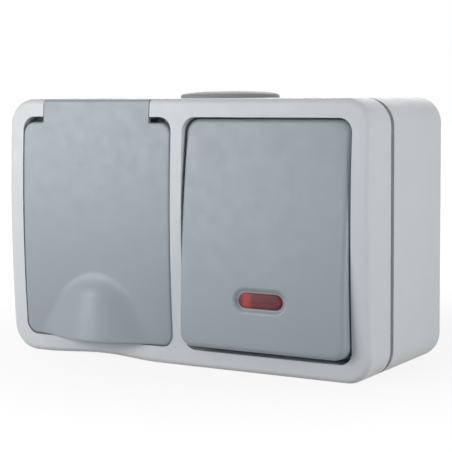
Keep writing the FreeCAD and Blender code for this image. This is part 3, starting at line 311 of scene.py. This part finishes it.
# Flap with its bell-shaped finger lift, its neck and the barrel of the hinge
FLAP_HALF, FLAP_CORNER, FLAP_EDGE, FLAP_WALL = 28.88, 4.0, 0.8, 1.4
FLAP_MIDDLE = (SHOULDER + FLAP_LOW) / 2
BELL_TOP, BELL_RISE, BELL_CROWN, BELL_FOOT = -13.7, 6.4, 9.5, 24.5
BELL_ARCH = 8.0
LIP_HALF, LIP_DROP, LIP_FROM, LIP_FADE = 20.0, 0.2, -20.0, 15.0
NECK_TOP, NECK_ROUND = 40.4, 1.2
SLOT_HALF, SLOT_FROM = 4.3, 37.0
CORE, CORE_CHAMFER, CORE_NEAR, CORE_FAR = 3.2, 0.2, 4.4, 20.3


def bell(x, z):
    along = min(max((BELL_TOP - z) / (BELL_TOP - FLAP_LOW), 0.0), 1.0)
    reach = BELL_CROWN + (BELL_FOOT - BELL_CROWN) * along
    above = max(z - BELL_TOP + BELL_ARCH, 0.0) / BELL_ARCH
    across = min(math.hypot(x / reach, above), 1.0)
    return BELL_RISE * (0.36 + 0.64 * along) * (0.5 + 0.5 * math.cos(math.pi * across)) ** 0.85


def lip(x):
    return LIP_DROP * 0.5 * (1 + math.cos(math.pi * min(abs(x) / LIP_HALF, 1.0)))


def flap_depth(x, z):
    height = z + FLAP_MIDDLE
    return face_depth(height) + bell(x, height)


half_z = (SHOULDER - FLAP_LOW) / 2
shape = panel(stations(FLAP_HALF, FLAP_EDGE, 4, [(-NECK, 9), (NECK, 52), (FLAP_HALF - FLAP_EDGE, 9)]),
              stations(half_z, FLAP_EDGE, 4, [(half_z - FLAP_EDGE, 84)]),
              FLAP_CORNER, FLAP_EDGE, flap_depth, open_top=NECK)
for spot in shape.verts:
    low = min(max((LIP_FROM - spot.co.z) / LIP_FADE, 0.0), 1.0)
    spot.co.z -= lip(spot.co.x) * low * low
bmesh.ops.translate(shape, vec=(0, 0, FLAP_MIDDLE), verts=shape.verts)
neck_edges = [edge for edge in rim_edges(shape)
              if all(abs(spot.co.x) <= NECK + 0.01 and spot.co.z > SHOULDER - 0.01 for spot in edge.verts)]
straight = [(face_depth(z), z) for z in (35.3, 36.3, 37.3, 38.3, 39.3, NECK_TOP)]
rounded = arc(face_depth(NECK_TOP) - NECK_ROUND, NECK_TOP, NECK_ROUND, range(15, 91, 15))
draw_along(shape, neck_edges, straight + rounded + arc(AXIS, AXIS_Z, BARREL, range(80, 196, 12)))
# Room for the spring in the rear of the barrel
spring_slot = []
for face in shape.faces:
    centre = face.calc_center_median()
    if abs(centre.x) < SLOT_HALF and centre.z > SLOT_FROM and -centre.y < AXIS - 0.1:
        spring_slot.append(face)
bmesh.ops.delete(shape, geom=spring_slot, context="FACES")
skirt = [edge for edge in rim_edges(shape)
         if all(spot.co.z < SHOULDER + 0.01 for spot in edge.verts)]
fold_back(shape, skirt, (49.6, 48.4, 47.45))
bmesh.ops.recalc_face_normals(shape, faces=shape.faces)
bmesh.ops.solidify(shape, geom=shape.faces[:], thickness=FLAP_WALL)
for near, far in ((-CORE_FAR, -CORE_NEAR), (CORE_NEAR, CORE_FAR)):
    turned(shape, [
        (0.0, near), (CORE - CORE_CHAMFER, near), (CORE, near + CORE_CHAMFER),
        (CORE, far - CORE_CHAMFER), (CORE - CORE_CHAMFER, far), (0.0, far),
    ], 64, (0, -AXIS, AXIS_Z), (1, 0, 0))
piece("flap_shell", shape, "blue_grey", "flap", "socket_flap", turn=Matrix.Translation((-MID, 0, 0)))

# Rocker, with the dished place of its red window, 0.5 mm lower than in the solid
LAID_OVER = Matrix.Translation((MID, -PIVOT, 0)) @ Matrix.Rotation(math.radians(-TILT), 4, "X")
ROCKER_X, ROCKER_Z, ROCKER_CORNER, ROCKER_EDGE, ROCKER_WALL = 28.4, 35.1, 4.2, 1.5, 1.65
DISH_LONG, DISH_TALL, DISH_SLOPE, DISH_DEEP = 18.5, 7.8, 1.35, 0.8
BEARING_X, BEARING_LONG, BEARING_BORE, BEARING_OUT = 18.3, 2.0, 2.1, 3.9
LENS_Z = -19.5


def from_stadium(x, z, long, tall):
    """Distance from the rim of a stadium around the window, below nought inside it."""
    reach = (long - tall) / 2
    return math.hypot(max(abs(x) - reach, 0.0), z - LENS_Z) - tall / 2


def rocker_depth(x, z):
    inside = -from_stadium(x, z, DISH_LONG, DISH_TALL)
    depth = ROCKER_CROWN - ARC + math.sqrt(ARC * ARC - z * z)
    if inside <= 0:
        return depth
    part = min(inside / DISH_SLOPE, 1.0)
    return depth - DISH_DEEP * part * part * (3 - 2 * part)


shape = panel(stations(ROCKER_X, ROCKER_EDGE, 7, [(-11.0, 20), (11.0, 62), (ROCKER_X - ROCKER_EDGE, 20)]),
              stations(ROCKER_Z, ROCKER_EDGE, 7, [(-24.5, 12), (-13.5, 32), (ROCKER_Z - ROCKER_EDGE, 50)]),
              ROCKER_CORNER, ROCKER_EDGE, rocker_depth)
fold_back(shape, rim_edges(shape), (6.0, 4.0, 2.2, 1.45))
bmesh.ops.recalc_face_normals(shape, faces=shape.faces)
bmesh.ops.solidify(shape, geom=shape.faces[:], thickness=ROCKER_WALL)
bearing = [(BEARING_BORE, 0.0), (BEARING_OUT, 0.0), (BEARING_OUT, BEARING_LONG),
           (BEARING_BORE, BEARING_LONG), (BEARING_BORE, 0.0)]
for side in (-1, 1):
    turned(shape, bearing, 40, (side * BEARING_X - BEARING_LONG / 2, 0, 0), (1, 0, 0))
piece("rocker_shell", shape, "blue_grey", "rocker", "rocker", turn=LAID_OVER)

# Red window
LENS_HALF, LENS_TALL, LENS_EDGE, LENS_CROWN = 7.4, 2.35, 0.55, 10.05
shape = panel(stations(LENS_HALF, LENS_EDGE, 5, [(LENS_HALF - LENS_EDGE, 40)]),
              stations(LENS_TALL, LENS_EDGE, 5, [(LENS_TALL - LENS_EDGE, 14)]),
              LENS_TALL - 0.01, LENS_EDGE, lambda x, z: LENS_CROWN - 0.012 * z * z)
fold_back(shape, rim_edges(shape), (8.6, 7.4))
bmesh.ops.contextual_create(shape, geom=rim_edges(shape))
bmesh.ops.translate(shape, vec=(0, 0, LENS_Z), verts=shape.verts)
piece("red_window_lens", shape, "red_window", "rocker", "rocker_lens", turn=LAID_OVER)

# Entry plug: a low dome with a ring and a snap skirt
shape = bmesh.new()
turned(shape, [
    (0.0, 2.2), (3.0, 2.19), (6.0, 2.13), (9.0, 2.02), (11.5, 1.86), (13.2, 1.7), (14.4, 1.52), (15.2, 1.36),
    (15.75, 1.16), (16.05, 0.9), (16.18, 0.55), (16.18, -0.55), (14.1, -0.58), (14.1, -2.4), (14.9, -2.55),
    (15.15, -2.9), (14.1, -4.8), (12.5, -4.8), (12.4, 0.3), (0.0, 0.5),
], 128, (0, 0, 0), (0, 0, 1))
piece("plug_dome", shape, "plug_grey", "case", "entry_plug", sharp=50.0,
      turn=Matrix.Translation((0, -PLUG_DEPTH, CASE_HALF)))

# Front of the case: the solid's own mesh, with a deeper notch behind the barrel, and with the
# border under the flap swept anew for a soft finger scoop
BORDER_LEFT, BORDER_RIGHT, BORDER_TOP = -54.6, -7.4, -36.115
RIM, WALL_IN, SKIRT_IN, PLATE_IN = 38.1, -39.4, -37.6, 48.3
EDGE_ROUND = 2.0
SCOOP_HALF, SCOOP_RISE, SCOOP_BACK, SCOOP_FROM, SCOOP_FADE = 23.4, 0.85, 1.3, 1.0, 12.0
NOTCH_BACK, NOTCH_LIMIT, NOTCH_FROM, NOTCH_SIDE = 43.5, 46.8, 38.3, 0.6
FLAT = 0.9995


def border_outline():
    """The border's section as (depth, height) points: its face, round edge, underside and inner walls."""
    spots = [(face_depth(z), z) for z in (BORDER_TOP - k * 0.75 for k in range(6))]
    height = -CASE_HALF + EDGE_ROUND
    depth = face_depth(height) - EDGE_ROUND
    spots += arc(depth, height, EDGE_ROUND, range(-10, -91, -10))
    spots += [(depth - k * (depth - RIM) / 9, -CASE_HALF) for k in range(1, 10)]
    spots += [(RIM, WALL_IN), (PLATE_IN, WALL_IN), (PLATE_IN, SKIRT_IN), (RIM, SKIRT_IN), (RIM, BORDER_TOP)]
    return spots


def scooped(x, depth, z):
    """A point of the border, drawn back and up where the finger goes."""
    bump = 0.5 + 0.5 * math.cos(math.pi * min(abs(x + MID) / SCOOP_HALF, 1.0))
    outer = min(max((BORDER_TOP - z) / (BORDER_TOP + CASE_HALF), 0.0), 1.0)
    front = min(max((depth - RIM - SCOOP_FROM) / SCOOP_FADE, 0.0), 1.0)
    share = bump * outer * front * front * (3 - 2 * front)
    return Vector((x, -(depth - SCOOP_BACK * share), z + SCOOP_RISE * share))


shape = bmesh.new()
solid = nodes["front_cover"].data.copy()
solid.attributes.remove(solid.attributes["custom_normal"])
shape.from_mesh(solid)
bpy.data.meshes.remove(solid)
bmesh.ops.remove_doubles(shape, verts=shape.verts, dist=0.000002)
bmesh.ops.scale(shape, vec=(1 / MM, 1 / MM, 1 / MM), verts=shape.verts)
for spot in shape.verts:
    if (abs(spot.co.x + MID) < NECK + NOTCH_SIDE and spot.co.z > NOTCH_FROM
            and NOTCH_BACK < -spot.co.y < NOTCH_LIMIT):
        spot.co.y = -NOTCH_BACK
# Cut the old border out along three planes, and close the cuts
for spot, facing in (
    ((BORDER_LEFT, 0, 0), (1, 0, 0)),
    ((BORDER_RIGHT, 0, 0), (1, 0, 0)),
    ((0, 0, BORDER_TOP), (0, 0, 1)),
):
    low = [face for face in shape.faces if min(corner.co.z for corner in face.verts) < BORDER_TOP]
    low_edges = list({edge for face in low for edge in face.edges})
    low_spots = list({corner for face in low for corner in face.verts})
    bmesh.ops.bisect_plane(shape, geom=low + low_edges + low_spots, dist=0.0005,
                           plane_co=spot, plane_no=facing)
cut = [face for face in shape.faces if BORDER_LEFT < face.calc_center_median().x < BORDER_RIGHT
       and face.calc_center_median().z < BORDER_TOP]
bmesh.ops.delete(shape, geom=cut, context="FACES")
for x in (BORDER_LEFT, BORDER_RIGHT):
    ends = [spot for spot in shape.verts if spot.is_boundary and abs(spot.co.x - x) < 0.001
            and abs(spot.co.z - BORDER_TOP) < 0.001]
    ends.sort(key=lambda spot: spot.co.y)
    shape.edges.new((ends[0], ends[-1]))
    side = [edge for edge in shape.edges if len(edge.link_faces) < 2
            and all(abs(spot.co.x - x) < 0.001 for spot in edge.verts)]
    bmesh.ops.triangle_fill(shape, edges=side, use_beauty=True, normal=(1, 0, 0))
bmesh.ops.triangle_fill(shape, edges=rim_edges(shape), use_beauty=True, normal=(0, 0, 1))
# Sweep the new border from side to side
outline = border_outline()
bar = bmesh.new()
columns = 72
bmesh.ops.create_grid(bar, x_segments=columns, y_segments=len(outline), size=1.0)
for spot in bar.verts:
    x = BORDER_LEFT + (BORDER_RIGHT - BORDER_LEFT) * round((spot.co.x + 1) / 2 * columns) / columns
    depth, z = outline[round((spot.co.y + 1) / 2 * len(outline)) % len(outline)]
    spot.co = scooped(x, depth, z)
bmesh.ops.remove_doubles(bar, verts=bar.verts, dist=0.0005)
bmesh.ops.holes_fill(bar, edges=rim_edges(bar), sides=0)
bmesh.ops.recalc_face_normals(bar, faces=bar.faces)
border_mesh = bpy.data.meshes.new("border")
bar.to_mesh(border_mesh)
bar.free()
shape.from_mesh(border_mesh)
bpy.data.meshes.remove(border_mesh)
cover = piece("case_front", shape, "case_grey", "case", "front_cover", sharp=30.0, outward=False)
for face in cover.data.polygons:
    if max(abs(face.normal.x), abs(face.normal.z)) > FLAT or face.normal.y > FLAT:
        face.use_smooth = False

# Screws with a cross slot and a thread
HEAD, HEAD_EDGE, HEAD_TALL, HEAD_CROWN = 2.8, 0.35, 1.8, 0.06
CROSS_HALF, CROSS_REACH, CROSS_DEEP, CROSS_SLOPE = 0.44, 1.75, 1.1, 0.16
THREAD_OUT, THREAD_ROOT, THREAD_PITCH = 1.48, 1.16, 0.7


def pan_head(x, z):
    depth = HEAD_TALL - HEAD_CROWN * (x * x + z * z)
    for along, across in ((x, z), (z, x)):
        if abs(across) < CROSS_HALF and abs(along) < CROSS_REACH:
            steep = min(1.0, (CROSS_HALF - abs(across)) / CROSS_SLOPE)
            return depth - CROSS_DEEP * steep * (1 - abs(along) / 3.4)
    return depth


def cover_screw(name, node, x, z, seat, length):
    grid = stations(HEAD, HEAD_EDGE, 3, [(HEAD - HEAD_EDGE, 38)])
    shape = panel(grid, grid, HEAD - 0.01, HEAD_EDGE, pan_head)
    fold_back(shape, rim_edges(shape), (0.5, 0.0))
    bmesh.ops.contextual_create(shape, geom=rim_edges(shape))
    profile, height = [(0.0, -0.01), (1.45, -0.01)], 0.4
    while height < length - 1.2:
        profile += [(THREAD_OUT, -height), (THREAD_ROOT, -height - THREAD_PITCH / 2)]
        height += THREAD_PITCH
    turned(shape, profile + [(0.9, -length + 0.3), (0.0, -length)], 24, (0, 0, 0), (0, 1, 0))
    piece(name, shape, "steel", "case", node, turn=Matrix.Translation((x, -seat, z)), sharp=35.0)


cover_screw("cover_screw_top_left", "cover_screw_a", -46.0, 31.2, 45.3, 23.8)
cover_screw("cover_screw_low_left", "cover_screw_b", -16.0, -31.2, 45.3, 23.8)
cover_screw("cover_screw_top_right", "cover_screw_c", 16.0, 31.2, 39.3, 17.8)
cover_screw("cover_screw_low_right", "cover_screw_d", 46.0, -31.2, 39.3, 17.8)
cover_screw("socket_middle_screw", "socket_centre_screw", -31.0, 0.0, 28.5, 13.8)

# Springs of round wire
WIRE, FLAP_COIL, PLUNGER_COIL, LEG_X, LEG_LONG = 0.24, 1.4, 1.5, 2.7, 8.0


def coil(shape, radius, turns, start, end, axis):
    along = Vector(axis)
    across = Vector((0, 0, 1)) if axis[0] else Vector((1, 0, 0))
    hoop = bmesh.ops.create_circle(shape, segments=8, radius=WIRE)["verts"]
    facing = across.cross(along)
    placing = Matrix((across, along, facing)).transposed().to_4x4()
    placing.translation = across * radius + along * start
    bmesh.ops.transform(shape, matrix=placing, verts=hoop)
    edges = list({edge for spot in hoop for edge in spot.link_edges})
    steps = int(28 * turns)
    bmesh.ops.spin(shape, geom=hoop + edges, cent=(0, 0, 0), axis=axis, dvec=along * ((end - start) / steps),
                   angle=2 * math.pi * turns, steps=steps, use_merge=False, use_duplicate=False)


shape = bmesh.new()
coil(shape, FLAP_COIL, 7.5, -3.15, 3.15, (1, 0, 0))
for x, y in ((LEG_X, FLAP_COIL), (-LEG_X, -FLAP_COIL)):
    leg = bmesh.ops.create_cone(shape, cap_ends=True, segments=10, radius1=WIRE, radius2=WIRE,
                                depth=LEG_LONG)["verts"]
    bmesh.ops.translate(shape, vec=(x, y, -LEG_LONG / 2), verts=leg)
bmesh.ops.holes_fill(shape, edges=rim_edges(shape), sides=8)
piece("flap_return_spring", shape, "spring_steel", "case", "flap_spring",
      turn=Matrix.Translation((-MID, -AXIS, AXIS_Z)))
shape = bmesh.new()
coil(shape, PLUNGER_COIL, 5.0, -6.1, 2.6, (0, 1, 0))
bmesh.ops.holes_fill(shape, edges=rim_edges(shape), sides=8)
piece("plunger_coil", shape, "spring_steel", "rocker", "plunger_spring", turn=LAID_OVER)

# Camera at the photograph's angle, in metres
PHOTO_YAW, PHOTO_PITCH, PHOTO_ROLL = (math.radians(a) for a in (30.96, 5.57, -0.427))
AIM = Vector((-13.41, 0.0, -2.70)) * MM
CAMERA_AWAY = 0.485
back = Vector((math.sin(PHOTO_YAW) * math.cos(PHOTO_PITCH), -math.cos(PHOTO_YAW) * math.cos(PHOTO_PITCH),
               math.sin(PHOTO_PITCH)))
right = (-back).cross(Vector((0, 0, 1))).normalized()
up = right.cross(-back)
side = right * math.cos(PHOTO_ROLL) + up * math.sin(PHOTO_ROLL)
above = up * math.cos(PHOTO_ROLL) - right * math.sin(PHOTO_ROLL)
camera_data = bpy.data.cameras.new("camera")
camera_data.lens = 111.32
camera_data.sensor_width = 36.0
camera_data.sensor_height = 36.0
camera_data.clip_start = 0.01
camera = bpy.data.objects.new("camera", camera_data)
scene.collection.objects.link(camera)
place = AIM + back * CAMERA_AWAY
camera.matrix_world = Matrix((
    (side.x, above.x, back.x, place.x),
    (side.y, above.y, back.y, place.y),
    (side.z, above.z, back.z, place.z),
    (0, 0, 0, 1),
))
scene.camera = camera


# Soft studio light
def lamp(name, at, aim, size, power):
    data = bpy.data.lights.new(name, "AREA")
    data.shape = "SQUARE"
    data.size = size
    data.energy = power
    made = bpy.data.objects.new(name, data)
    scene.collection.objects.link(made)
    made.location = at
    made.rotation_euler = (Vector(aim) - Vector(at)).to_track_quat("-Z", "Y").to_euler()


lamp("key", (-0.32, -0.42, 0.12), (-0.02, -0.03, 0), 0.3, 2.0)
lamp("fill", (0.55, -0.15, 0.10), (0.06, -0.03, 0), 0.3, 1.7)
lamp("top", (0.0, 0.15, 0.9), (0, -0.02, 0), 0.6, 1.0)
lamp("behind", (-0.3, 0.8, 0.2), (0, 0, 0), 0.6, 4.0)

# Pale floor that keeps the soft shadow close to the case and is white further out
FLOOR_HALF, FLOOR_Z = 2.5, -0.0418
SHADOW_FROM, SHADOW_TO = 0.08, 0.22
floor_mesh = bpy.data.meshes.new("floor")
shape = bmesh.new()
bmesh.ops.create_grid(shape, x_segments=1, y_segments=1, size=FLOOR_HALF)
bmesh.ops.translate(shape, vec=(0, 0, FLOOR_Z), verts=shape.verts)
shape.to_mesh(floor_mesh)
shape.free()
floor = bpy.data.objects.new("floor", floor_mesh)
scene.collection.objects.link(floor)
material, tree, shader = tree_of("pale_floor")
shader.inputs["Base Color"].default_value = (0.45, 0.45, 0.45, 1)
shader.inputs["Roughness"].default_value = 0.9
shader.inputs["Specular IOR Level"].default_value = 0.0
white = tree.nodes.new("ShaderNodeEmission")
white.inputs["Strength"].default_value = 1.1
away = tree.nodes.new("ShaderNodeVectorMath")
away.operation = "LENGTH"
tree.links.new(object_coordinates(tree), away.inputs[0])
share = tree.nodes.new("ShaderNodeMath")
share.operation = "MULTIPLY"
tree.links.new(any_ray(tree, "Is Camera Ray", "Is Glossy Ray"), share.inputs[0])
tree.links.new(spread(tree, away.outputs["Value"], 0.8, 1.0, SHADOW_FROM, SHADOW_TO), share.inputs[1])
tree.links.new(mixed(tree, share.outputs[0], shader.outputs[0], white.outputs[0]),
               tree.nodes["Material Output"].inputs["Surface"])
floor_mesh.materials.append(material)

# White surround that lights the case only a little
world = bpy.data.worlds.new("surround")
scene.world = world
world.use_nodes = True
tree = world.node_tree
tree.nodes.clear()
out = tree.nodes.new("ShaderNodeOutputWorld")
dim, bright = (tree.nodes.new("ShaderNodeBackground") for _ in range(2))
for background, strength in ((dim, 0.05), (bright, 1.0)):
    background.inputs["Color"].default_value = (1, 1, 1, 1)
    background.inputs["Strength"].default_value = strength
direct = any_ray(tree, "Is Camera Ray", "Is Transmission Ray", "Is Glossy Ray")
tree.links.new(mixed(tree, direct, dim.outputs[0], bright.outputs[0]), out.inputs["Surface"])

scene.view_settings.view_transform = "Standard"
